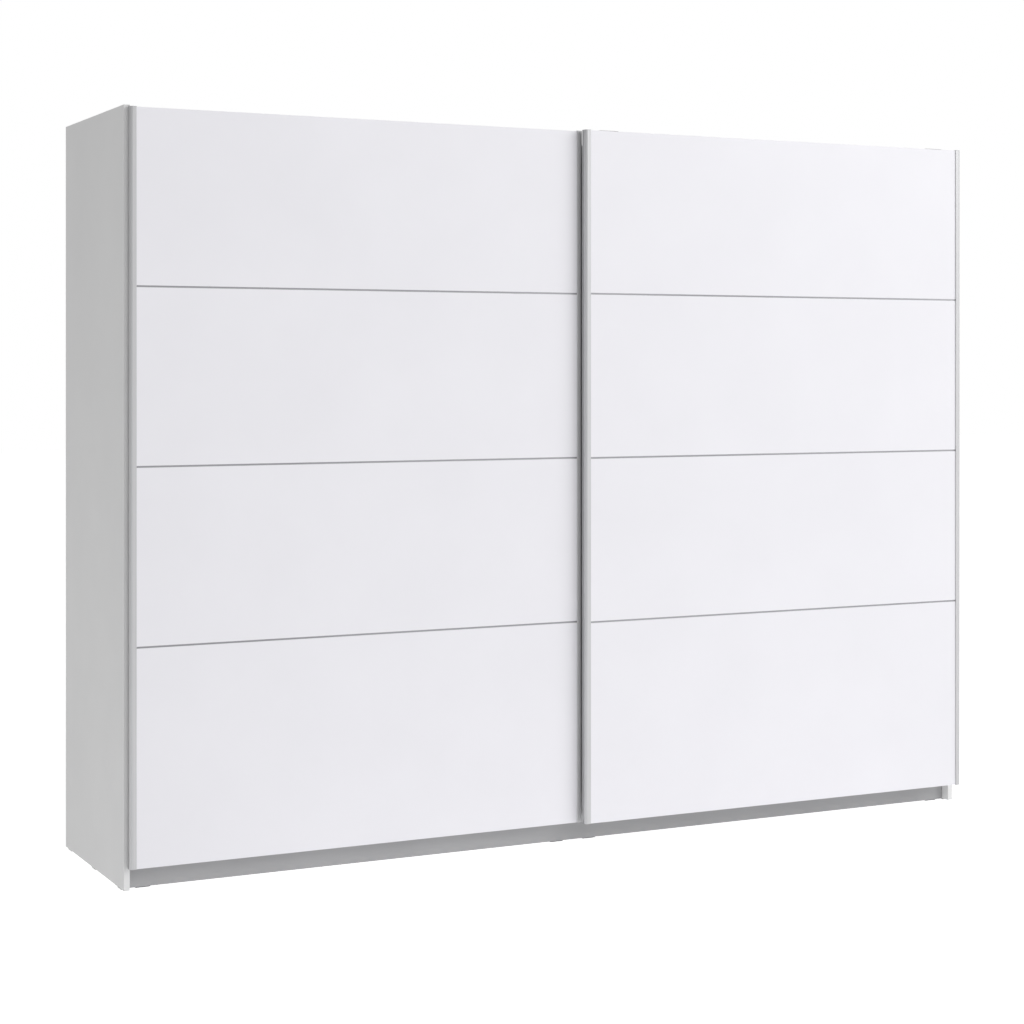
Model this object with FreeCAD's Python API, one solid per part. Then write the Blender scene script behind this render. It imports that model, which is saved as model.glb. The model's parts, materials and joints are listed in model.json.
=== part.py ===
import FreeCAD, Part
import math
import os

# Two-door sliding wardrobe, in millimetres. X runs from left to right, Y from front to back, Z up.
# The origin is on the floor, at the middle of the footprint with the doors on.
# The left door runs on the rear track and the right door runs on the front track, both hung from the roof.

# Carcass
WIDTH = 2710.0                # over the outer faces of the two side panels
HEIGHT = 2080.0               # floor to the top edge of the side panels
CARCASS_DEPTH = 600.0         # front edge to back edge of the side panels
BOARD = 16.0                  # thickness of every carcass board
ROOF_DROP = 54.0              # top edge of the side panels down to the top face of the roof
PLINTH_HEIGHT = 70.0          # floor to the underside of the bottom panels
PLINTH_GAP = 3.0              # bottom guide rail to the front face of the plinth

# Back
BACK_THICKNESS = 3.0
BACK_INSET = 12.0             # back edge of the side panels in to the back panels
BACK_GROOVE = 7.0             # how far the back panels enter the side panels
BACK_PANELS = 4
JOINER_WIDTH = 16.0           # H-section strips between the back panels
JOINER_THICKNESS = 1.0
TACK_HEAD_RADIUS = 3.0
TACK_HEAD_HEIGHT = 1.2
TACK_RADIUS = 1.2
TACK_BITE = 12.0              # length of a back panel screw inside the board edge
TACKS_PER_EDGE = 3

# Interior
SHELF_HEADROOM = 214.0        # top face of a shelf to the underside of the roof
SHELF_SETBACK = 20.0          # front edge of the carcass to the front edge of a shelf
SHELF_PLAY = 0.5              # at each end of a shelf and behind it
PIN_RADIUS = 2.5              # shelf pins and socket pegs
PIN_TONGUE = (8.0, 12.0, 3.0)  # length, width and height of the part of a pin that carries the shelf
PIN_SETBACK = 80.0            # edge of a shelf to the centre of a pin
TUBE_HEIGHT = 30.0            # oval clothes rail
TUBE_WIDTH = 15.0
TUBE_WALL = 1.2
TUBE_DROP = 60.0              # underside of a shelf to the middle of the clothes rail
SOCKET_FLANGE = 3.0
SOCKET_WALL = 2.5
SOCKET_REACH = 12.0           # how far a socket's collar runs along the clothes rail
SOCKET_EAR = 9.0              # flange beyond the collar, above and below, for the pegs
SOCKET_PLAY = 0.2

# Board joints
JOINT_SETBACK = 90.0          # board edge to the first cam
DOWEL_OFFSET = 48.0           # cam to the dowel beside it
CAM_RADIUS = 7.5
CAM_COVER = 3.5               # board left behind a cam
CAM_REACH = 34.0              # end of the board to the centre of a cam
CAM_SLOT = (9.0, 1.6, 1.5)    # length, width and depth of the screwdriver slot
BOLT_RADIUS = 3.5
BOLT_THREAD_RADIUS = 2.5
DOWEL_RADIUS = 4.0
DOWEL_IN_END = 22.0
MIDDLE_WEB = 1.0              # board left between holes that meet from its two faces

# Floor glides
GLIDE_HEIGHT = 2.0
GLIDE_LENGTH = 40.0
GLIDE_MARGIN = 1.0            # board edge to the edge of a glide
GLIDE_PIN_RADIUS = 2.0
GLIDE_PIN_HEIGHT = 10.0
GLIDE_SETBACK = 45.0          # board end to the centre of a glide

# Doors
DOOR_INSET = 10.0             # outer face of the side panel in to the outer edge of a door
DOOR_TOP_GAP = 5.5            # top edge of the side panels down to the top of the front door
REAR_DOOR_DROP = 1.0          # top of the front door down to the top of the rear door
DOOR_BOTTOM = 62.0            # floor to the bottom of the door panels
DOOR_CLEARANCE = 2.0          # carcass front edge to the rear door
DOOR_GAP = 10.0               # rear door to front door
DOOR_OVERLAP = 8.0            # of the two closed doors
DOOR_PANEL = 16.0             # thickness of the door panels
UPPER_PANEL_HEIGHT = 472.0    # each of the equal upper panels; the bottom panel takes the rest
UPPER_PANELS = 3
STRIP_FACE = 5.0              # visible height of a trim strip
STRIP_RECESS = 1.0            # face of the panels back to the face of a strip
STRIP_FLANGE_HEIGHT = 24.0
STRIP_FLANGE = 2.0
PROFILE_WIDTH = 18.0
PROFILE_LIP = 3.0             # over the front and back faces of the panels
PROFILE_WALL = 5.0            # outer edge of the door to the edge of the panels
PROFILE_NOSE_RADIUS = 8.0
PROFILE_BACK_RADIUS = 2.0
PROFILE_LIP_RADIUS = 1.0
FINGER_GROOVE_WIDTH = 6.0
FINGER_GROOVE_DEPTH = 2.0
END_CAP = 1.0

# Running gear on the roof
RAIL_BASE = 2.5
RAIL_SETBACK = 2.0            # carcass front edge to the running rail
RAIL_END_GAP = 1.0
RIDGE_WIDTH = 3.0
RIDGE_HEIGHT = 6.0
RIDGE_CROWN = 1.35            # radius of the top edges of a ridge
FENCE_WIDTH = 2.0             # upstand along the back of the running rail
FENCE_HEIGHT = 12.0
FENCE_GAP = 4.5               # front door hangers to the upstand
TRACK_SETBACK = 14.5          # carcass front edge to the middle of the rear door's wheels
TRACK_PITCH = 24.0
WHEEL_RADIUS = 14.0
WHEEL_RUNNING_RADIUS = 12.0
WHEEL_WIDTH = 8.0
WHEEL_GROOVE_WIDTH = 4.4
WHEEL_LIFT = 0.3              # running clearance over the ridge
WHEEL_SIDE_GAP = 0.5
WHEEL_DISH = 1.0
WHEEL_HUB_RADIUS = 5.5
WHEEL_RIM_RADIUS = 10.0
AXLE_RADIUS = 3.0
AXLE_PLAY = 0.05              # radial running clearance
AXLE_HEAD_RADIUS = 5.0
AXLE_HEAD_HEIGHT = 1.5
HANGER_PLATE = 2.0
HANGER_BEND = 1.0             # inside radius
HANGER_WIDTH = 60.0
HANGER_INSET = 90.0           # edge of a door to the middle of a hanger
HANGER_LEG = 75.0             # below the top of the front door
HANGER_SCREW_RISE = 25.0      # foot of a hanger up to its screws
HANGER_SCREW_PITCH = 30.0
HANGER_HEADROOM = 1.2         # over what the arm of a hanger passes
HANGER_BELOW_AXLE = 9.0
STOP_LENGTH = 30.0
STOP_GAP = 0.5                # hanger to end stop with the door at the end of its travel
STOP_MARGIN = 1.5             # stop block beyond the ridge, the wheel and the hanger

# Guide rail and guides at the bottom
GUIDE_RAIL_SETBACK = 3.5
GUIDE_RAIL_HEIGHT = 6.0
GUIDE_RAIL_WALL = 2.0
CHANNEL_WIDTH = 8.0
CHANNEL_PITCH = 12.5
SPINE_WIDTH = 2.0             # tongue on the guide rail that is pressed into the bottom panels
SPINE_HEIGHT = 6.0
GUIDE_PIN_RADIUS = 3.5
GUIDE_PIN_TOP_GAP = 0.5
GUIDE_PLATE = 2.0
GUIDE_WIDTH = 30.0
GUIDE_LEG = 48.0              # above the bottom of the door panels
GUIDE_SCREW_DROP = 16.0       # head of a guide down to its screws
GUIDE_SCREW_PITCH = 15.0
GUIDE_HEADROOM = 1.5          # between the arms, the rail and the doors that pass over each other
GUIDE_TOE = 5.0               # arm beyond the centre of its pin

# Screws
SCREW_HEAD_RADIUS = 4.0
SCREW_HEAD_HEIGHT = 2.0
SCREW_RADIUS = 2.0
SCREW_TIP_COVER = 4.0         # board left beyond the tip of a screw
RAIL_SCREWS_PER_BAY = 4

# Wall brackets
BRACKET_WIDTH = 40.0
BRACKET_PLATE = 2.0
BRACKET_BEND = 1.0
BRACKET_FOOT = 50.0
BRACKET_UPRIGHT = 36.0
BRACKET_HOLE_RADIUS = 3.0
BRACKET_SETBACK = 300.0       # inner face of a side panel to the middle of a bracket
BRACKET_SCREW_SETBACK = 17.0  # front of the back panels to the screws in the roof
BRACKET_SCREW_PITCH = 20.0

SAME_POINT = 1e-6             # points closer than this are one point

# Planes of the carcass
PROFILE_DEPTH = DOOR_PANEL + 2 * PROFILE_LIP
DOOR_STACK = DOOR_CLEARANCE + 2 * PROFILE_DEPTH + DOOR_GAP
DEPTH = CARCASS_DEPTH + DOOR_STACK
LEFT = -WIDTH / 2
RIGHT = WIDTH / 2
FRONT = DOOR_STACK - DEPTH / 2
BACK = DEPTH / 2
INNER_LEFT = LEFT + BOARD
INNER_RIGHT = RIGHT - BOARD
BACK_REAR = BACK - BACK_INSET
BACK_FRONT = BACK_REAR - BACK_THICKNESS
ROOF_TOP = HEIGHT - ROOF_DROP
ROOF_UNDER = ROOF_TOP - BOARD
FLOOR_TOP = PLINTH_HEIGHT + BOARD
BAYS = {"left": (INNER_LEFT, -BOARD / 2), "right": (BOARD / 2, INNER_RIGHT)}
FACE_HOLE = (BOARD - MIDDLE_WEB) / 2
SHELF_TOP = ROOF_UNDER - SHELF_HEADROOM
SHELF_UNDER = SHELF_TOP - BOARD
TUBE_Y = (FRONT + BACK_FRONT) / 2
TUBE_Z = SHELF_UNDER - TUBE_DROP

# Planes of the guide rail, the plinth and the running gear
GUIDE_RAIL_FRONT = FRONT + GUIDE_RAIL_SETBACK
FIRST_CHANNEL = GUIDE_RAIL_FRONT + GUIDE_RAIL_WALL + CHANNEL_WIDTH / 2
CHANNELS = (FIRST_CHANNEL, FIRST_CHANNEL + CHANNEL_PITCH)
GUIDE_RAIL_REAR = CHANNELS[1] + CHANNEL_WIDTH / 2 + GUIDE_RAIL_WALL
PLINTH_FRONT = GUIDE_RAIL_REAR + PLINTH_GAP
PLINTH_REAR = BACK_FRONT - BOARD
TRACKS = (FRONT + TRACK_SETBACK, FRONT + TRACK_SETBACK + TRACK_PITCH)
RAIL_TOP = ROOF_TOP + RAIL_BASE
RIDGE_TOP = RAIL_TOP + RIDGE_HEIGHT
AXLE_Z = RIDGE_TOP + WHEEL_LIFT + WHEEL_RUNNING_RADIUS
HANGER_BEHIND_WHEEL = WHEEL_WIDTH / 2 + WHEEL_SIDE_GAP

# Planes of the doors
DOOR_WIDTH = (WIDTH - 2 * DOOR_INSET + DOOR_OVERLAP) / 2
DOOR_TOP = HEIGHT - DOOR_TOP_GAP
REAR_DOOR_FRONT = FRONT - DOOR_CLEARANCE - PROFILE_DEPTH
FRONT_DOOR_FRONT = REAR_DOOR_FRONT - DOOR_GAP - PROFILE_DEPTH
REAR_ARM = AXLE_Z + WHEEL_RADIUS + HANGER_HEADROOM
REAR_DOOR_TOP = DOOR_TOP - REAR_DOOR_DROP
FRONT_ARM = max(REAR_DOOR_TOP + END_CAP, REAR_ARM + HANGER_PLATE) + HANGER_HEADROOM
REAR_GUIDE_ARM = PLINTH_HEIGHT - GUIDE_RAIL_HEIGHT - GUIDE_HEADROOM - GUIDE_PLATE
FRONT_GUIDE_ARM = min(DOOR_BOTTOM - END_CAP, REAR_GUIDE_ARM) - GUIDE_HEADROOM - GUIDE_PLATE

# Left edge, front face and top of each door, then the places of its wheels, hangers and guides
DOORS = {
    "left_door": (LEFT + DOOR_INSET, REAR_DOOR_FRONT, REAR_DOOR_TOP,
                  TRACKS[0], REAR_ARM, CHANNELS[0], REAR_GUIDE_ARM),
    "right_door": (RIGHT - DOOR_INSET - DOOR_WIDTH, FRONT_DOOR_FRONT, DOOR_TOP,
                   TRACKS[1], FRONT_ARM, CHANNELS[1], FRONT_GUIDE_ARM),
}


def vec(x, y, z):
    return FreeCAD.Vector(x, y, z)


RIGHTWARDS = vec(1, 0, 0)
BACKWARDS = vec(0, 1, 0)
UPWARDS = vec(0, 0, 1)


def box(x, y, z):
    """A box from its (low, high) pairs in X, Y and Z."""
    return Part.makeBox(x[1] - x[0], y[1] - y[0], z[1] - z[0], vec(x[0], y[0], z[0]))


def rod(start, direction, radius, length):
    return Part.makeCylinder(radius, length, start, direction)


def group(solids):
    return Part.makeCompound(list(solids))


def cut(shape, tools):
    """The shape less everything that sits in it, so each hole is exactly what fills it."""
    return shape.cut(group(tools))


def closed_wire(corners, place):
    """A closed wire through (a, b) corners, or (a, b, radius) where one is rounded."""
    points = [place(corner[0], corner[1]) for corner in corners]
    edges = []
    ends = []
    for i, corner in enumerate(corners):
        radius = corner[2] if len(corner) > 2 else 0.0
        back = (points[i - 1] - points[i]).normalize()
        on = (points[(i + 1) % len(points)] - points[i]).normalize()
        half = back.getAngle(on) / 2
        reach = radius / math.tan(half)
        start = points[i] + back * reach
        end = points[i] + on * reach
        ends.append((start, end))
        if radius:
            middle = points[i] + (back + on).normalize() * (radius / math.sin(half) - radius)
            edges.append(Part.Arc(start, middle, end).toShape())
    for i, (start, _) in enumerate(ends):
        last = ends[i - 1][1]
        if last.distanceToPoint(start) > SAME_POINT:
            edges.append(Part.LineSegment(last, start).toShape())
    return Part.Wire(Part.__sortEdges__(edges))


def along_x(corners, x):
    """A prism along X from (y, z) corners."""
    face = Part.Face(closed_wire(corners, lambda a, b: vec(x[0], a, b)))
    return face.extrude(RIGHTWARDS * (x[1] - x[0]))


def along_z(corners, z):
    """A prism along Z from (x, y) corners."""
    face = Part.Face(closed_wire(corners, lambda a, b: vec(a, b, z[0])))
    return face.extrude(UPWARDS * (z[1] - z[0]))


def pan_screw(seat, direction, head_radius, head_height, radius, length):
    head = rod(seat - direction * head_height, direction, head_radius, head_height)
    return head.fuse(rod(seat, direction, radius, length)).removeSplitter()


def flush_screw(seat, direction, length):
    """A countersunk screw whose head ends level with the seat."""
    sink = SCREW_HEAD_RADIUS - SCREW_RADIUS
    head = Part.makeCone(SCREW_HEAD_RADIUS, SCREW_RADIUS, sink, seat, direction)
    return head.fuse(rod(seat + direction * sink, direction, SCREW_RADIUS, length - sink)).removeSplitter()


def spread(low, high, count):
    """Middles of equal parts of a length."""
    return [low + (high - low) * (i + 0.5) / count for i in range(count)]


# Board joints

def board_ends():
    """(x, direction out of the board, underside, face the cams open on) of every cammed end."""
    for low, high in BAYS.values():
        for under, open_face in ((PLINTH_HEIGHT, PLINTH_HEIGHT), (ROOF_UNDER, ROOF_TOP)):
            yield low, -1, under, open_face
            yield high, 1, under, open_face


def cam_rows():
    return FRONT + JOINT_SETBACK, BACK_FRONT - JOINT_SETBACK


def cam_lock(x, y, open_face, under):
    """A cam that opens on the top or the bottom face of its board, with a slot for the screwdriver."""
    inwards = UPWARDS if open_face == under else -UPWARDS
    depth = BOARD - CAM_COVER
    mouth = vec(x, y, open_face)
    slot_length, slot_width, slot_depth = CAM_SLOT
    slot = box((x - slot_length / 2, x + slot_length / 2), (y - slot_width / 2, y + slot_width / 2),
               (open_face - slot_depth, open_face + slot_depth))
    return rod(mouth, inwards, CAM_RADIUS, depth).cut(slot)


def cam_bolt(end, outwards, y, z):
    shank = rod(vec(end - outwards * CAM_REACH, y, z), RIGHTWARDS * outwards, BOLT_RADIUS, CAM_REACH)
    thread = rod(vec(end, y, z), RIGHTWARDS * outwards, BOLT_THREAD_RADIUS, FACE_HOLE)
    return shank.fuse(thread).removeSplitter()


def cam_bolts():
    return [cam_bolt(end, outwards, y, under + BOARD / 2)
            for end, outwards, under, _ in board_ends() for y in cam_rows()]


def cam_locks(bolts):
    return [cut(cam_lock(end - outwards * CAM_REACH, y, open_face, under), bolts)
            for end, outwards, under, open_face in board_ends() for y in cam_rows()]


def dowel(end, outwards, y, z):
    start = vec(end - outwards * DOWEL_IN_END, y, z)
    return rod(start, RIGHTWARDS * outwards, DOWEL_RADIUS, DOWEL_IN_END + FACE_HOLE)


def dowels():
    front_row, rear_row = cam_rows()
    rows = (front_row + DOWEL_OFFSET, rear_row - DOWEL_OFFSET)
    pins = [dowel(end, outwards, y, under + BOARD / 2)
            for end, outwards, under, _ in board_ends() for y in rows]
    for plinth in (PLINTH_FRONT, PLINTH_REAR):
        for end, outwards in ((INNER_LEFT, -1), (INNER_RIGHT, 1)):
            pins.append(dowel(end, outwards, plinth + BOARD / 2, PLINTH_HEIGHT / 2))
    return pins


# What stands on the floor

def glide(x, y, length_x, length_y):
    pad = box((x - length_x / 2, x + length_x / 2), (y - length_y / 2, y + length_y / 2), (0, GLIDE_HEIGHT))
    pin = rod(vec(x, y, GLIDE_HEIGHT), UPWARDS, GLIDE_PIN_RADIUS, GLIDE_PIN_HEIGHT)
    return pad.fuse(pin).removeSplitter()


def floor_glides():
    narrow = BOARD - 2 * GLIDE_MARGIN
    rows = (FRONT + GLIDE_SETBACK, (FRONT + BACK) / 2, BACK - GLIDE_SETBACK)
    pads = [glide(x, y, narrow, GLIDE_LENGTH) for x in (LEFT + BOARD / 2, RIGHT - BOARD / 2) for y in rows]
    pads += [glide(x, rows[1], narrow, GLIDE_LENGTH) for x in (0, *bay_middles())]
    for plinth in (PLINTH_FRONT, PLINTH_REAR):
        for low, high in BAYS.values():
            ends = (low + GLIDE_SETBACK, high - GLIDE_SETBACK)
            pads += [glide(x, plinth + BOARD / 2, GLIDE_LENGTH, narrow) for x in ends]
    return pads


def bay_middles():
    return [(low + high) / 2 for low, high in BAYS.values()]


def plinth(front, fittings):
    board = box((INNER_LEFT, INNER_RIGHT), (front, front + BOARD), (GLIDE_HEIGHT, PLINTH_HEIGHT))
    return cut(board, fittings)


def plinth_supports(fittings):
    """One cross board under the middle of each bottom panel, from plinth to plinth."""
    for x in bay_middles():
        span = (x - BOARD / 2, x + BOARD / 2)
        support = box(span, (PLINTH_FRONT + BOARD, PLINTH_REAR), (GLIDE_HEIGHT, PLINTH_HEIGHT))
        yield cut(support, fittings)


# Back

def back_panel_spans():
    low = INNER_LEFT - BACK_GROOVE
    high = INNER_RIGHT + BACK_GROOVE
    width = (high - low - (BACK_PANELS - 1) * JOINER_THICKNESS) / BACK_PANELS
    return [(low + i * (width + JOINER_THICKNESS), low + i * (width + JOINER_THICKNESS) + width)
            for i in range(BACK_PANELS)]


def back_tacks():
    size = (TACK_HEAD_RADIUS, TACK_HEAD_HEIGHT, TACK_RADIUS, BACK_THICKNESS + TACK_BITE)
    return [pan_screw(vec(x, BACK_REAR, z), -BACKWARDS, *size)
            for span in back_panel_spans() for x in spread(*span, TACKS_PER_EDGE)
            for z in (PLINTH_HEIGHT + BOARD / 2, ROOF_TOP - BOARD / 2)]


def back_panel(span, tacks):
    return cut(box(span, (BACK_FRONT, BACK_REAR), (PLINTH_HEIGHT, ROOF_TOP)), tacks)


def back_joiners():
    """H-section strips: a web between two back panels, and a flange over each of their faces."""
    spans = back_panel_spans()
    for (_, web_low), (web_high, _) in zip(spans, spans[1:]):
        middle = (web_low + web_high) / 2
        flange = (middle - JOINER_WIDTH / 2, middle + JOINER_WIDTH / 2)
        height = (FLOOR_TOP, ROOF_UNDER)
        front = box(flange, (BACK_FRONT - JOINER_THICKNESS, BACK_FRONT), height)
        rear = box(flange, (BACK_REAR, BACK_REAR + JOINER_THICKNESS), height)
        web = box((web_low, web_high), (BACK_FRONT, BACK_REAR), height)
        yield front.fuse([web, rear]).removeSplitter()


# Carcass boards

def side_panel(x, inner_face, fittings):
    """inner_face is where the back panel groove opens."""
    panel = box(x, (FRONT, BACK), (GLIDE_HEIGHT, HEIGHT))
    groove = box((inner_face - BACK_GROOVE, inner_face + BACK_GROOVE), (BACK_FRONT, BACK_REAR),
                 (PLINTH_HEIGHT, ROOF_TOP))
    return cut(panel, [groove, *fittings])


def centre_partition(fittings):
    """Stands on the floor between the bays, notched over the two plinths."""
    panel = box((-BOARD / 2, BOARD / 2), (FRONT, BACK_FRONT - JOINER_THICKNESS), (GLIDE_HEIGHT, ROOF_TOP))
    front_notch = box((-BOARD, BOARD), (FRONT, PLINTH_FRONT + BOARD), (GLIDE_HEIGHT, PLINTH_HEIGHT))
    rear_notch = box((-BOARD, BOARD), (PLINTH_REAR, BACK_FRONT), (GLIDE_HEIGHT, PLINTH_HEIGHT))
    return cut(panel, [front_notch, rear_notch, *fittings])


def bay_board(bay, under, fittings):
    """A bottom panel or a roof panel of one bay."""
    return cut(box(bay, (FRONT, BACK_FRONT), (under, under + BOARD)), fittings)


def shelf(bay):
    x = (bay[0] + SHELF_PLAY, bay[1] - SHELF_PLAY)
    y = (FRONT + SHELF_SETBACK, BACK_FRONT - JOINER_THICKNESS - SHELF_PLAY)
    return box(x, y, (SHELF_UNDER, SHELF_TOP))


# Interior fittings

def shelf_pin(wall, into_bay, y):
    """A peg in the wall of a bay, and a flat tongue under the shelf."""
    length, width, height = PIN_TONGUE
    ends = sorted((wall, wall + into_bay * length))
    tongue = box(ends, (y - width / 2, y + width / 2), (SHELF_UNDER - height, SHELF_UNDER))
    peg = rod(vec(wall, y, SHELF_UNDER - PIN_RADIUS), RIGHTWARDS * -into_bay, PIN_RADIUS, FACE_HOLE)
    return tongue.fuse(peg).removeSplitter()


def bay_walls():
    """(x, direction into the bay) of the four walls that carry shelves and clothes rails."""
    for low, high in BAYS.values():
        yield low, 1
        yield high, -1


def shelf_pins():
    rows = (FRONT + SHELF_SETBACK + PIN_SETBACK, BACK_FRONT - PIN_SETBACK)
    return [shelf_pin(wall, into_bay, y) for wall, into_bay in bay_walls() for y in rows]


def oval(width, height, x):
    """An oval prism along X around the middle line of a clothes rail."""
    half_width = width / 2
    half_height = height / 2
    corners = [(TUBE_Y + a * half_width, TUBE_Z + b * half_height, half_width)
               for a, b in ((-1, -1), (1, -1), (1, 1), (-1, 1))]
    return along_x(corners, x)


def clothes_rail(bay):
    x = (bay[0] + SOCKET_FLANGE, bay[1] - SOCKET_FLANGE)
    bore = oval(TUBE_WIDTH - 2 * TUBE_WALL, TUBE_HEIGHT - 2 * TUBE_WALL, x)
    return oval(TUBE_WIDTH, TUBE_HEIGHT, x).cut(bore)


def rail_socket(wall, into_bay):
    """A flange with a collar for the clothes rail, held by two pegs in the wall of the bay."""
    play = 2 * SOCKET_PLAY
    rim = 2 * SOCKET_WALL + play
    flange_x = sorted((wall, wall + into_bay * SOCKET_FLANGE))
    collar_x = sorted((wall + into_bay * SOCKET_FLANGE, wall + into_bay * (SOCKET_FLANGE + SOCKET_REACH)))
    flange = oval(TUBE_WIDTH + rim, TUBE_HEIGHT + rim + 2 * SOCKET_EAR, flange_x)
    collar = oval(TUBE_WIDTH + rim, TUBE_HEIGHT + rim, collar_x)
    collar = collar.cut(oval(TUBE_WIDTH + play, TUBE_HEIGHT + play, collar_x))
    peg_offset = (TUBE_HEIGHT + rim + SOCKET_EAR) / 2
    seats = [vec(wall, TUBE_Y, TUBE_Z + side * peg_offset) for side in (-1, 1)]
    pegs = [rod(seat, RIGHTWARDS * -into_bay, PIN_RADIUS, FACE_HOLE) for seat in seats]
    return flange.fuse([collar, *pegs]).removeSplitter()


# Rails, stops and wall brackets

def rail_length():
    return INNER_LEFT + RAIL_END_GAP, INNER_RIGHT - RAIL_END_GAP


def ridge(y):
    """Corners of one ridge of the running rail, from its rear foot over the top to its front foot."""
    rear = y + RIDGE_WIDTH / 2
    front = y - RIDGE_WIDTH / 2
    return [(rear, RAIL_TOP), (rear, RIDGE_TOP, RIDGE_CROWN), (front, RIDGE_TOP, RIDGE_CROWN),
            (front, RAIL_TOP)]


def running_rail(screws):
    """Double track for the wheels: a flat base with two ridges and an upstand behind them."""
    front = FRONT + RAIL_SETBACK
    rear = TRACKS[1] + HANGER_BEHIND_WHEEL + HANGER_PLATE + FENCE_GAP + FENCE_WIDTH
    corners = [(front, ROOF_TOP), (rear, ROOF_TOP), (rear, RAIL_TOP + FENCE_HEIGHT),
               (rear - FENCE_WIDTH, RAIL_TOP + FENCE_HEIGHT), (rear - FENCE_WIDTH, RAIL_TOP),
               *ridge(TRACKS[1]), *ridge(TRACKS[0]), (front, RAIL_TOP)]
    return cut(along_x(corners, rail_length()), screws)


def rail_screws():
    size = (SCREW_HEAD_RADIUS, SCREW_HEAD_HEIGHT, SCREW_RADIUS, RAIL_BASE + BOARD - SCREW_TIP_COVER)
    y = sum(TRACKS) / 2
    return [pan_screw(vec(x, y, RAIL_TOP), -UPWARDS, *size)
            for bay in BAYS.values() for x in spread(*bay, RAIL_SCREWS_PER_BAY)]


def end_stops(rail):
    """A block at each end of each track, in the way of the hangers."""
    reach = WIDTH / 2 - DOOR_INSET - HANGER_INSET + HANGER_WIDTH / 2 + STOP_GAP
    for y in TRACKS:
        for side in (-1, 1):
            x = sorted((side * reach, side * (reach + STOP_LENGTH)))
            front = y - WHEEL_WIDTH / 2 - STOP_MARGIN
            rear = y + HANGER_BEHIND_WHEEL + HANGER_PLATE + STOP_MARGIN
            yield box(x, (front, rear), (RAIL_TOP, AXLE_Z)).cut(rail)


def guide_rail():
    """Two channels open downwards, with a tongue that is pressed into a groove of the bottom panels."""
    top = PLINTH_HEIGHT
    web = top - GUIDE_RAIL_WALL
    foot = top - GUIDE_RAIL_HEIGHT
    half = CHANNEL_WIDTH / 2
    spine = spine_span()
    crest = top + SPINE_HEIGHT
    corners = [(GUIDE_RAIL_FRONT, foot), (GUIDE_RAIL_FRONT, top), (spine[0], top), (spine[0], crest),
               (spine[1], crest), (spine[1], top), (GUIDE_RAIL_REAR, top), (GUIDE_RAIL_REAR, foot)]
    for y in reversed(CHANNELS):
        corners += [(y + half, foot), (y + half, web), (y - half, web), (y - half, foot)]
    return along_x(corners, rail_length())


def spine_span():
    middle = sum(CHANNELS) / 2
    return middle - SPINE_WIDTH / 2, middle + SPINE_WIDTH / 2


def bracket_places():
    return INNER_LEFT + BRACKET_SETBACK, INNER_RIGHT - BRACKET_SETBACK


def bracket_screw_row():
    return BACK_FRONT - BRACKET_SCREW_SETBACK


def wall_bracket(x, screws):
    """An angle on the roof, with a hole for the screw that goes into the wall."""
    span = (x - BRACKET_WIDTH / 2, x + BRACKET_WIDTH / 2)
    toe = BACK - BRACKET_FOOT - BACK_INSET
    outer = BRACKET_BEND + BRACKET_PLATE
    inside = BACK - BRACKET_PLATE
    foot_top = ROOF_TOP + BRACKET_PLATE
    head = ROOF_TOP + BRACKET_UPRIGHT
    corners = [(toe, ROOF_TOP), (BACK, ROOF_TOP, outer), (BACK, head), (inside, head),
               (inside, foot_top, BRACKET_BEND), (toe, foot_top)]
    hole = rod(vec(x, inside, (ROOF_TOP + head) / 2), BACKWARDS, BRACKET_HOLE_RADIUS, BRACKET_PLATE)
    return cut(along_x(corners, span), [hole, *screws])


def bracket_screws():
    length = BRACKET_PLATE + BOARD - SCREW_TIP_COVER
    for x in bracket_places():
        for side in (-1, 1):
            seat = vec(x + side * BRACKET_SCREW_PITCH / 2, bracket_screw_row(), ROOF_TOP + BRACKET_PLATE)
            yield pan_screw(seat, -UPWARDS, SCREW_HEAD_RADIUS, SCREW_HEAD_HEIGHT, SCREW_RADIUS, length)


# Doors

def profile_corners(edge, inwards, front, hollow):
    """Handle profile from above: round nose in front, lips over the panel, finger groove in the edge."""
    flat = (PROFILE_NOSE_RADIUS + PROFILE_DEPTH - PROFILE_BACK_RADIUS) / 2
    groove = (flat - FINGER_GROOVE_WIDTH / 2, flat + FINGER_GROOVE_WIDTH / 2)
    inner_back = PROFILE_DEPTH - PROFILE_LIP
    corners = [(0, 0, PROFILE_NOSE_RADIUS)]
    if hollow:
        corners += [(0, groove[0]), (FINGER_GROOVE_DEPTH, groove[0]),
                    (FINGER_GROOVE_DEPTH, groove[1]), (0, groove[1])]
    corners += [(0, PROFILE_DEPTH, PROFILE_BACK_RADIUS), (PROFILE_WIDTH, PROFILE_DEPTH)]
    if hollow:
        corners += [(PROFILE_WIDTH, inner_back), (PROFILE_WALL, inner_back), (PROFILE_WALL, PROFILE_LIP),
                    (PROFILE_WIDTH, PROFILE_LIP)]
    corners += [(PROFILE_WIDTH, 0, PROFILE_LIP_RADIUS)]
    return [(edge + inwards * corner[0], front + corner[1], *corner[2:]) for corner in corners]


def door_edges(x):
    """(x, direction into the door) of the left and the right edge of a door."""
    return {"left": (x, 1), "right": (x + DOOR_WIDTH, -1)}


def end_caps(x, front, top):
    for edge, inwards in door_edges(x).values():
        corners = profile_corners(edge, inwards, front, hollow=False)
        yield along_z(corners, (top, top + END_CAP))
        yield along_z(corners, (DOOR_BOTTOM - END_CAP, DOOR_BOTTOM))


def strip_tops():
    return [DOOR_TOP - (i + 1) * UPPER_PANEL_HEIGHT - i * STRIP_FACE for i in range(UPPER_PANELS)]


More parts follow.
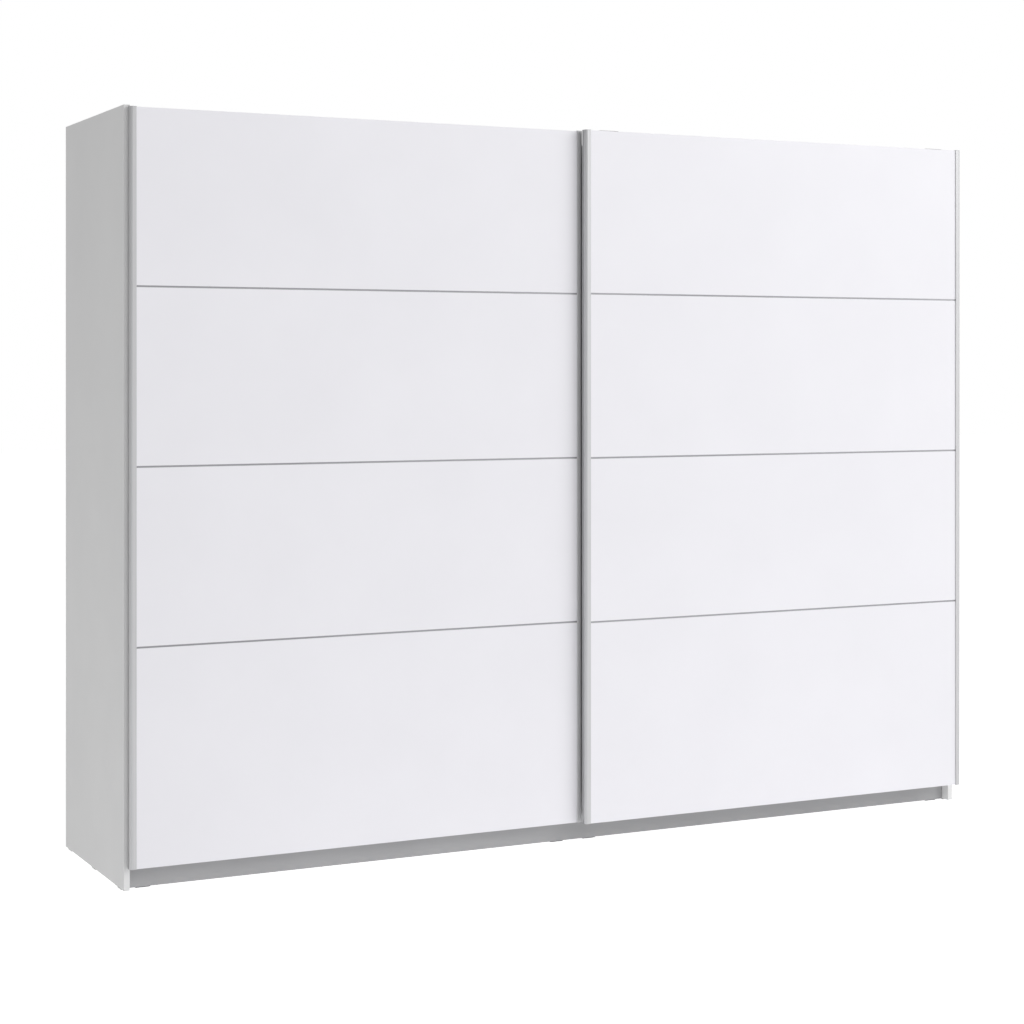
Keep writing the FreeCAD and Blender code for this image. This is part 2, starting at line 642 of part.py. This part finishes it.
def door_panels(x, front, top, screws):
    """The panels of a door from the top down, each with its edges in the two handle profiles."""
    span = (x + PROFILE_WALL, x + DOOR_WIDTH - PROFILE_WALL)
    depth = (front + PROFILE_LIP, front + PROFILE_LIP + DOOR_PANEL)
    highs = [top] + [strip_top - STRIP_FACE for strip_top in strip_tops()]
    lows = strip_tops() + [DOOR_BOTTOM]
    return [cut(box(span, depth, (low, high)), screws) for low, high in zip(lows, highs)]


def trim_strips(x, front):
    """T-section strips: a web between two panels, and a flange over the joint on the back."""
    face = front + PROFILE_LIP + STRIP_RECESS
    back = front + PROFILE_LIP + DOOR_PANEL
    for top in strip_tops():
        middle = top - STRIP_FACE / 2
        web = box((x + PROFILE_WALL, x + DOOR_WIDTH - PROFILE_WALL), (face, back), (top - STRIP_FACE, top))
        flange = box((x + PROFILE_WIDTH, x + DOOR_WIDTH - PROFILE_WIDTH), (back, back + STRIP_FLANGE),
                     (middle - STRIP_FLANGE_HEIGHT / 2, middle + STRIP_FLANGE_HEIGHT / 2))
        yield web.fuse(flange).removeSplitter()


def hanger_middles(x):
    return x + HANGER_INSET, x + DOOR_WIDTH - HANGER_INSET


def hanger(x, panel_back, track, arm):
    """A bent plate: down the back of the door panel, over the roof, and down behind the wheel."""
    rear = track + HANGER_BEHIND_WHEEL + HANGER_PLATE
    outer = HANGER_BEND + HANGER_PLATE
    leg_foot = DOOR_TOP - HANGER_LEG
    drop_foot = AXLE_Z - HANGER_BELOW_AXLE
    corners = [(panel_back, leg_foot), (panel_back + HANGER_PLATE, leg_foot),
               (panel_back + HANGER_PLATE, arm, HANGER_BEND), (rear - HANGER_PLATE, arm, HANGER_BEND),
               (rear - HANGER_PLATE, drop_foot), (rear, drop_foot), (rear, arm + HANGER_PLATE, outer),
               (panel_back, arm + HANGER_PLATE, outer)]
    return along_x(corners, (x - HANGER_WIDTH / 2, x + HANGER_WIDTH / 2))


def axle(x, track):
    """A headed pin through the hanger and the wheel."""
    rear = track + HANGER_BEHIND_WHEEL + HANGER_PLATE
    length = HANGER_PLATE + 2 * WHEEL_SIDE_GAP + WHEEL_WIDTH
    shank = rod(vec(x, rear, AXLE_Z), -BACKWARDS, AXLE_RADIUS, length)
    head_seat = vec(x, track - WHEEL_WIDTH / 2 - WHEEL_SIDE_GAP, AXLE_Z)
    return shank.fuse(rod(head_seat, -BACKWARDS, AXLE_HEAD_RADIUS, AXLE_HEAD_HEIGHT)).removeSplitter()


def wheel(x, track):
    """A grooved wheel that runs on a ridge, dished on both faces."""
    front = vec(x, track - WHEEL_WIDTH / 2, AXLE_Z)
    groove_start = vec(x, track - WHEEL_GROOVE_WIDTH / 2, AXLE_Z)
    groove = rod(groove_start, BACKWARDS, WHEEL_RADIUS, WHEEL_GROOVE_WIDTH)
    groove = groove.cut(rod(groove_start, BACKWARDS, WHEEL_RUNNING_RADIUS, WHEEL_GROOVE_WIDTH))
    bore = rod(front, BACKWARDS, AXLE_RADIUS + AXLE_PLAY, WHEEL_WIDTH)
    dishes = []
    for start in (front, front + BACKWARDS * (WHEEL_WIDTH - WHEEL_DISH)):
        ring = rod(start, BACKWARDS, WHEEL_RIM_RADIUS, WHEEL_DISH)
        dishes.append(ring.cut(rod(start, BACKWARDS, WHEEL_HUB_RADIUS, WHEEL_DISH)))
    return rod(front, BACKWARDS, WHEEL_RADIUS, WHEEL_WIDTH).cut([groove, bore, *dishes])


def bottom_guide(x, panel_back, channel, arm):
    """An angle on the back of the door panel, with a pin that runs in a channel of the guide rail."""
    toe = channel + GUIDE_TOE
    head = DOOR_BOTTOM + GUIDE_LEG
    top = arm + GUIDE_PLATE
    inside = panel_back + GUIDE_PLATE
    corners = [(panel_back, arm, HANGER_BEND + GUIDE_PLATE), (toe, arm), (toe, top),
               (inside, top, HANGER_BEND), (inside, head), (panel_back, head)]
    pin_top = PLINTH_HEIGHT - GUIDE_RAIL_WALL - GUIDE_PIN_TOP_GAP
    angle = along_x(corners, (x - GUIDE_WIDTH / 2, x + GUIDE_WIDTH / 2))
    return angle.fuse(rod(vec(x, channel, top), UPWARDS, GUIDE_PIN_RADIUS, pin_top - top)).removeSplitter()


def door_screws(x, panel_back):
    """Two screws side by side in the leg of each hanger, and two in the leg of each guide."""
    rows = ((HANGER_PLATE, HANGER_SCREW_PITCH, DOOR_TOP - HANGER_LEG + HANGER_SCREW_RISE),
            (GUIDE_PLATE, GUIDE_SCREW_PITCH, DOOR_BOTTOM + GUIDE_LEG - GUIDE_SCREW_DROP))
    for plate, pitch, z in rows:
        for middle in hanger_middles(x):
            for side in (-1, 1):
                seat = vec(middle + side * pitch / 2, panel_back + plate, z)
                yield flush_screw(seat, -BACKWARDS, plate + DOOR_PANEL - SCREW_TIP_COVER)


def door(name, x, front, top, track, arm, channel, guide_arm):
    """Every node of one door, by name."""
    panel_back = front + PROFILE_LIP + DOOR_PANEL
    screws = list(door_screws(x, panel_back))
    axles = [axle(middle, track) for middle in hanger_middles(x)]
    panels = door_panels(x, front, top, screws)
    nodes = {f"{name}_panel_{i}": panel for i, panel in enumerate(panels, start=1)}
    nodes[f"{name}_trim_strips"] = group(trim_strips(x, front))
    for side, (edge, inwards) in door_edges(x).items():
        corners = profile_corners(edge, inwards, front, hollow=True)
        nodes[f"{name}_handle_profile_{side}"] = along_z(corners, (DOOR_BOTTOM, top))
    nodes[f"{name}_profile_end_caps"] = group(end_caps(x, front, top))
    nodes[f"{name}_hangers"] = group(cut(hanger(middle, panel_back, track, arm), screws + axles)
                                     for middle in hanger_middles(x))
    nodes[f"{name}_roller_axles"] = group(axles)
    nodes[f"{name}_bottom_guides"] = group(cut(bottom_guide(middle, panel_back, channel, guide_arm), screws)
                                           for middle in hanger_middles(x))
    nodes[f"{name}_screws"] = group(screws)
    for side, middle in zip(("left", "right"), hanger_middles(x)):
        nodes[f"{name}_{side}_wheel"] = wheel(middle, track)
    return nodes


# The whole wardrobe

def carcass():
    """Every node that stands still, by name."""
    bolts = cam_bolts()
    locks = cam_locks(bolts)
    pegs = dowels()
    glides = floor_glides()
    pins = shelf_pins()
    sockets = [rail_socket(wall, into_bay) for wall, into_bay in bay_walls()]
    tacks = back_tacks()
    roof_screws = rail_screws()
    angle_screws = list(bracket_screws())
    rail = running_rail(roof_screws)
    guide = guide_rail()
    side_fittings = bolts + pegs + pins + sockets + glides
    nodes = {
        "side_panel_left": side_panel((LEFT, INNER_LEFT), INNER_LEFT, side_fittings),
        "side_panel_right": side_panel((INNER_RIGHT, RIGHT), INNER_RIGHT, side_fittings),
        "centre_partition": centre_partition(side_fittings + [guide]),
        "plinth_front": plinth(PLINTH_FRONT, pegs + glides),
        "plinth_rear": plinth(PLINTH_REAR, pegs + glides),
        "plinth_supports": group(plinth_supports(glides)),
        "back_panel_joiners": group(back_joiners()),
        "back_panel_screws": group(tacks),
        "shelf_pins": group(pins),
        "clothes_rail_sockets": group(sockets),
        "running_rail": rail,
        "running_rail_screws": group(roof_screws),
        "running_rail_end_stops": group(end_stops(rail)),
        "bottom_guide_rail": guide,
        "floor_glides": group(glides),
        "cam_locks": group(locks),
        "cam_bolts": group(bolts),
        "dowels": group(pegs),
        "wall_brackets": group(wall_bracket(x, angle_screws) for x in bracket_places()),
        "wall_bracket_screws": group(angle_screws),
    }
    board_fittings = locks + bolts + pegs + tacks
    for side, bay in BAYS.items():
        nodes[f"bottom_panel_{side}"] = bay_board(bay, PLINTH_HEIGHT, board_fittings + [guide])
        nodes[f"roof_panel_{side}"] = bay_board(bay, ROOF_UNDER, board_fittings + roof_screws + angle_screws)
        nodes[f"shelf_{side}"] = shelf(bay)
        nodes[f"clothes_rail_{side}"] = clothes_rail(bay)
    for i, span in enumerate(back_panel_spans(), start=1):
        nodes[f"back_panel_{i}"] = back_panel(span, tacks)
    return nodes


os.makedirs("parts", exist_ok=True)
wardrobe = carcass()
for door_name, places in DOORS.items():
    wardrobe.update(door(door_name, *places))
for node, shape in wardrobe.items():
    shape.exportStep(f"parts/{node}.step")
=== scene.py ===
import json
import math

import bpy
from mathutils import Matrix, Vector

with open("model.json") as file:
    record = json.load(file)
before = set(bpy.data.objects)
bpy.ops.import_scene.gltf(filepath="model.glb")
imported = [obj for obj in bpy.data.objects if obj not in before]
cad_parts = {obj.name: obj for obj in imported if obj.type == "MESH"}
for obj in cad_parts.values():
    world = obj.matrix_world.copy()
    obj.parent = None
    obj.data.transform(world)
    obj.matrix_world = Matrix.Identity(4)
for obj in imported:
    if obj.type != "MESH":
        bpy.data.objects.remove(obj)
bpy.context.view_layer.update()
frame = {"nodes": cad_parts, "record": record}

# Camera, solved from the straight edges of the wardrobe. Its height is over the floor.
CAMERA_PLACE = (-2.9496, -5.8559, 1.3832)
CAMERA_YAW = math.radians(26.621)
SENSOR = 36.0                 # millimetres
LENS = 75.99                  # millimetres
LENS_SHIFT = (-0.01914, -0.14033)    # sideways and up, as shares of the picture's width

# Rounding of the edges, in metres
BOARD_EDGE = 0.0008
METAL_EDGE = 0.0004
EDGE_SEGMENTS = 2
SHARP_EDGE = math.radians(40)

# Studio: the floor, the light of the surroundings, and the key light from the front right
FLOOR_SIZE = 60
FLOOR_COLOUR = (0.8, 0.8, 0.8)
FLOOR_ROUGHNESS = 0.9
FLOOR_SPECULAR = 0.1
FLOOR_GLOW = 0.8
SKY_LIGHT = 0.27
BACKDROP = 1.0
KEY_PLACE = (7.0, -7.5, 5.2)
KEY_TARGET = (0.3, 0.0, 1.1)
KEY_SIZE = (8.0, 4.5)
KEY_WATTS = 520


# Node helpers

# Sockets of the colour mix node, whose names are shared by its other data types
MIX_FACTOR = 0
MIX_FIRST = 6
MIX_SECOND = 7
MIX_COLOUR = 2


class Nodes:
    """The node tree of one new material."""

    def __init__(self, name):
        self.material = bpy.data.materials.new(name)
        self.material.use_nodes = True
        self.tree = self.material.node_tree
        self.shader = self.tree.nodes["Principled BSDF"]

    def add(self, kind, **values):
        node = self.tree.nodes.new(kind)
        for key, value in values.items():
            if key in node.inputs:
                node.inputs[key].default_value = value
            else:
                setattr(node, key, value)
        return node

    def link(self, source, target):
        self.tree.links.new(source, target)

    def place(self, scale=(1, 1, 1)):
        """Object coordinates in metres, stretched by scale."""
        coordinates = self.add("ShaderNodeTexCoord")
        mapping = self.add("ShaderNodeMapping")
        mapping.inputs["Scale"].default_value = scale
        self.link(coordinates.outputs["Object"], mapping.inputs["Vector"])
        return mapping.outputs["Vector"]

    def noise(self, scale, detail=3.0, stretch=(1, 1, 1)):
        node = self.add("ShaderNodeTexNoise", Scale=scale, Detail=detail)
        self.link(self.place(stretch), node.inputs["Vector"])
        return node.outputs["Fac"]

    def spread(self, source, low, high, source_low=0.3, source_high=0.7):
        """The source, from its usual span to the span from low to high."""
        node = self.add("ShaderNodeMapRange")
        node.inputs["From Min"].default_value = source_low
        node.inputs["From Max"].default_value = source_high
        node.inputs["To Min"].default_value = low
        node.inputs["To Max"].default_value = high
        self.link(source, node.inputs["Value"])
        return node.outputs["Result"]

    def mix(self, factor, first, second):
        """The first colour where the factor is 0 and the second where it is 1."""
        node = self.add("ShaderNodeMix", data_type="RGBA")
        for socket, value in ((node.inputs[MIX_FIRST], first), (node.inputs[MIX_SECOND], second)):
            if isinstance(value, tuple):
                socket.default_value = (*value, 1.0)
            else:
                self.link(value, socket)
        self.link(factor, node.inputs[MIX_FACTOR])
        return node.outputs[MIX_COLOUR]

    def bump(self, source, distance, strength, under=None):
        node = self.add("ShaderNodeBump", Distance=distance, Strength=strength)
        self.link(source, node.inputs["Height"])
        if under is not None:
            self.link(under, node.inputs["Normal"])
        return node.outputs["Normal"]

    def finish(self, colour, roughness, normal, **constants):
        self.link(colour, self.shader.inputs["Base Color"])
        self.link(roughness, self.shader.inputs["Roughness"])
        self.link(normal, self.shader.inputs["Normal"])
        for key, value in constants.items():
            self.shader.inputs[key.replace("_", " ")].default_value = value
        return self.material


# Materials

def coated_board(name, colour, shade, roughness, orange_peel, specular):
    """Melamine-faced board: faint mottling, a fine pearl texture, and slightly dusty patches."""
    nodes = Nodes(name)
    mottle = nodes.noise(3.5, detail=4.0)
    tint = nodes.mix(nodes.spread(mottle, 0.0, 1.0), colour, shade)
    dust = nodes.noise(11.0, detail=5.0)
    rough = nodes.spread(dust, roughness - 0.05, roughness + 0.06)
    pearl = nodes.noise(900.0, detail=2.0)
    waves = nodes.noise(38.0, detail=2.0)
    normal = nodes.bump(pearl, orange_peel, 0.5, nodes.bump(waves, orange_peel * 1.5, 0.5))
    return nodes.finish(tint, rough, normal, Specular_IOR_Level=specular)


def drawn_metal(name, colour, shade, roughness, stretch, metallic=1.0):
    """Metal drawn or brushed along one direction, with lines where stretch is small.

    A thick anodised layer scatters some of the light, which a metallic value under 1 stands for.
    """
    nodes = Nodes(name)
    lines = nodes.noise(260.0, detail=4.0, stretch=stretch)
    cloud = nodes.noise(6.0, detail=3.0)
    tint = nodes.mix(nodes.spread(lines, 0.0, 1.0), colour, shade)
    tint = nodes.mix(nodes.spread(cloud, 0.0, 0.35), tint, shade)
    rough = nodes.spread(lines, roughness - 0.05, roughness + 0.08)
    return nodes.finish(tint, rough, nodes.bump(lines, 0.00002, 0.6), Metallic=metallic)


def plated_steel(name, colour, shade, roughness):
    """Zinc plate: crystal patches of slightly different tone, and a fine grain."""
    nodes = Nodes(name)
    crystals = nodes.add("ShaderNodeTexVoronoi", Scale=160.0)
    nodes.link(nodes.place(), crystals.inputs["Vector"])
    grain = nodes.noise(700.0, detail=3.0)
    tint = nodes.mix(nodes.spread(crystals.outputs["Distance"], 0.0, 1.0, 0.0, 0.6), colour, shade)
    rough = nodes.spread(grain, roughness - 0.06, roughness + 0.08)
    return nodes.finish(tint, rough, nodes.bump(grain, 0.00003, 0.5), Metallic=1.0)


def moulded_plastic(name, colour, shade, roughness):
    """Moulded plastic: spark-eroded grain and faint flow marks."""
    nodes = Nodes(name)
    grain = nodes.noise(1400.0, detail=2.0)
    flow = nodes.noise(45.0, detail=4.0, stretch=(1, 1, 0.3))
    tint = nodes.mix(nodes.spread(flow, 0.0, 1.0), colour, shade)
    rough = nodes.spread(flow, roughness - 0.05, roughness + 0.05)
    return nodes.finish(tint, rough, nodes.bump(grain, 0.00004, 0.5))


def beech_wood(name):
    """Turned beech: grain along X, with short dark flecks."""
    nodes = Nodes(name)
    rings = nodes.noise(120.0, detail=5.0, stretch=(0.1, 1, 1))
    flecks = nodes.noise(900.0, detail=2.0, stretch=(0.2, 1, 1))
    tint = nodes.mix(nodes.spread(rings, 0.0, 1.0), (0.60, 0.40, 0.22), (0.45, 0.27, 0.13))
    tint = nodes.mix(nodes.spread(flecks, 0.0, 0.5, 0.55, 0.75), tint, (0.28, 0.15, 0.07))
    return nodes.finish(tint, nodes.spread(rings, 0.5, 0.65), nodes.bump(rings, 0.0001, 0.5))


def printed_hardboard(name):
    """White printed hardboard: a soft mottle over a fine mesh texture."""
    nodes = Nodes(name)
    mottle = nodes.noise(9.0, detail=5.0)
    fibres = nodes.noise(420.0, detail=4.0, stretch=(1, 1, 0.5))
    tint = nodes.mix(nodes.spread(mottle, 0.0, 1.0), (0.72, 0.72, 0.715), (0.695, 0.695, 0.69))
    return nodes.finish(tint, nodes.spread(fibres, 0.55, 0.72), nodes.bump(fibres, 0.00008, 0.6))


# Each kind of finish, then its slots: the colour, the shade that mottles it, the roughness,
# and what else that kind of finish takes
UPRIGHT = (1, 1, 0.004)
LENGTHWISE = (0.004, 1, 1)
FINISHES = {
    coated_board: {
        "white_board": ((0.78, 0.78, 0.78), (0.755, 0.755, 0.757), 0.55, 0.00003, 0.2),
        "door_board": ((0.845, 0.838, 0.876), (0.825, 0.818, 0.856), 0.42, 0.00002, 0.35),
        "grey_board": ((0.385, 0.385, 0.392), (0.36, 0.36, 0.368), 0.5, 0.00004, 0.4),
    },
    drawn_metal: {
        # The trim strips' colour is set darker than their aluminium's own, a painted shade for
        # their recessed grooves.
        "trim_aluminium": ((0.38, 0.38, 0.395), (0.32, 0.32, 0.335), 0.52, LENGTHWISE),
        "handle_aluminium": ((0.61, 0.61, 0.62), (0.55, 0.55, 0.56), 0.45, UPRIGHT, 0.4),
        "rail_aluminium": ((0.60, 0.60, 0.61), (0.52, 0.52, 0.53), 0.36, LENGTHWISE),
        "tube_chrome": ((0.72, 0.72, 0.73), (0.66, 0.66, 0.67), 0.14, LENGTHWISE),
    },
    moulded_plastic: {
        "white_plastic": ((0.76, 0.76, 0.75), (0.71, 0.71, 0.70), 0.45),
        "grey_plastic": ((0.42, 0.42, 0.43), (0.37, 0.37, 0.38), 0.5),
        "dark_plastic": ((0.055, 0.055, 0.057), (0.04, 0.04, 0.042), 0.55),
        "wheel_nylon": ((0.68, 0.67, 0.63), (0.60, 0.59, 0.55), 0.38),
    },
    plated_steel: {
        "zinc_cast": ((0.50, 0.50, 0.51), (0.38, 0.38, 0.39), 0.45),
        "zinc_steel": ((0.62, 0.62, 0.60), (0.50, 0.50, 0.49), 0.34),
    },
    printed_hardboard: {"back_board": ()},
    beech_wood: {"beech": ()},
}


def make_materials():
    """One material for each material slot of the record."""
    return {
        slot: finish(slot, *values)
        for finish, slots in FINISHES.items()
        for slot, values in slots.items()
    }


def dress_nodes(materials):
    """Every CAD node gets the material of its slot, and rounded edges that catch the light."""
    for entry in frame["record"]["subparts"]:
        slot = entry["material_slot"]
        thing = frame["nodes"][entry["node"]]
        thing.data.materials.clear()
        thing.data.materials.append(materials[slot])
        bevel = thing.modifiers.new("rounded edges", "BEVEL")
        bevel.width = BOARD_EDGE if slot.endswith("board") else METAL_EDGE
        bevel.segments = EDGE_SEGMENTS
        bevel.limit_method = "ANGLE"
        bevel.angle_limit = SHARP_EDGE
        bevel.harden_normals = True


# Studio

def make_floor():
    """A pale floor with a little glow of its own, as on a lit product table."""
    bpy.ops.mesh.primitive_plane_add(size=FLOOR_SIZE)
    floor = bpy.context.object
    floor.name = "studio_floor"
    nodes = Nodes("studio_floor")
    nodes.shader.inputs["Base Color"].default_value = (*FLOOR_COLOUR, 1)
    nodes.shader.inputs["Roughness"].default_value = FLOOR_ROUGHNESS
    nodes.shader.inputs["Specular IOR Level"].default_value = FLOOR_SPECULAR
    nodes.shader.inputs["Emission Color"].default_value = (1, 1, 1, 1)
    nodes.shader.inputs["Emission Strength"].default_value = FLOOR_GLOW
    floor.data.materials.append(nodes.material)


def add_light(name, place, target, size, watts):
    lamp = bpy.data.lights.new(name, "AREA")
    lamp.shape = "RECTANGLE"
    lamp.size, lamp.size_y = size
    lamp.energy = watts
    thing = bpy.data.objects.new(name, lamp)
    bpy.context.collection.objects.link(thing)
    thing.location = place
    thing.rotation_euler = (Vector(target) - thing.location).to_track_quat("-Z", "Y").to_euler()


def light_studio():
    """A white backdrop that lights the object more softly than it looks, and one large soft key."""
    world = bpy.data.worlds.new("studio")
    bpy.context.scene.world = world
    world.use_nodes = True
    tree = world.node_tree
    path = tree.nodes.new("ShaderNodeLightPath")
    strength = tree.nodes.new("ShaderNodeMapRange")
    strength.inputs["To Min"].default_value = SKY_LIGHT
    strength.inputs["To Max"].default_value = BACKDROP
    tree.links.new(path.outputs["Is Camera Ray"], strength.inputs["Value"])
    background = tree.nodes["Background"]
    background.inputs["Color"].default_value = (1, 1, 1, 1)
    tree.links.new(strength.outputs["Result"], background.inputs["Strength"])
    add_light("key", KEY_PLACE, KEY_TARGET, KEY_SIZE, KEY_WATTS)
    bpy.context.scene.view_settings.view_transform = "Standard"


def make_camera():
    data = bpy.data.cameras.new("camera")
    camera = bpy.data.objects.new("camera", data)
    bpy.context.collection.objects.link(camera)
    data.sensor_width = SENSOR
    data.lens = LENS
    data.shift_x, data.shift_y = LENS_SHIFT
    camera.location = CAMERA_PLACE
    camera.rotation_euler = (math.pi / 2, 0, -CAMERA_YAW)
    bpy.context.scene.camera = camera


make_camera()
make_floor()
light_studio()
dress_nodes(make_materials())
